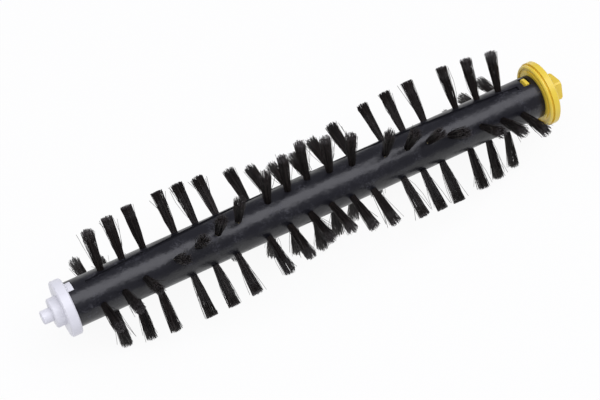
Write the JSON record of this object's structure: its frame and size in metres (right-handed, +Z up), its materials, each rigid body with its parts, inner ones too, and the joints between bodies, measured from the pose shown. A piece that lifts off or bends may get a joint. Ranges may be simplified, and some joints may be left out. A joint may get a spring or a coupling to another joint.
{
  "type": "vacuum roller brush",
  "caption": "Carpet roller brush: black plastic tube with four chevron rows of bristle tufts, a yellow cap with a square drive boss and a white idle cap with a journal.",
  "frame": {"origin": "on the roller's axis at the shoulder of the idle journal, the outer face of the white flange", "axes": "+X along the roller to the drive end, +Z up from the surface that the tips rest on, +Y to the back"},
  "size_m": [0.2511, 0.058, 0.0575],
  "materials": {
    "tube_black": "gloss black moulded plastic with fine scuffs",
    "cap_yellow": "gloss yellow moulded plastic",
    "cap_white": "satin white moulded plastic",
    "bristle_black": "black nylon filament, trimmed ends",
    "anchor_wire": "drawn flat wire"
  },
  "bodies": {
    "root": {"roller_tube": "tube_black", "drive_cap": "cap_yellow", "idle_cap": "cap_white", "anchors_1": "anchor_wire", "anchors_2": "anchor_wire", "anchors_3": "anchor_wire", "anchors_4": "anchor_wire", "bristles_1_1": "bristle_black", "bristles_1_2": "bristle_black", "bristles_1_3": "bristle_black", "bristles_1_4": "bristle_black", "bristles_1_5": "bristle_black", "bristles_2_1": "bristle_black", "bristles_2_2": "bristle_black", "bristles_2_3": "bristle_black", "bristles_2_4": "bristle_black", "bristles_2_5": "bristle_black", "bristles_3_1": "bristle_black", "bristles_3_2": "bristle_black", "bristles_3_3": "bristle_black", "bristles_3_4": "bristle_black", "bristles_3_5": "bristle_black", "bristles_4_1": "bristle_black", "bristles_4_2": "bristle_black", "bristles_4_3": "bristle_black", "bristles_4_4": "bristle_black", "bristles_4_5": "bristle_black"}
  },
  "joints": []
}
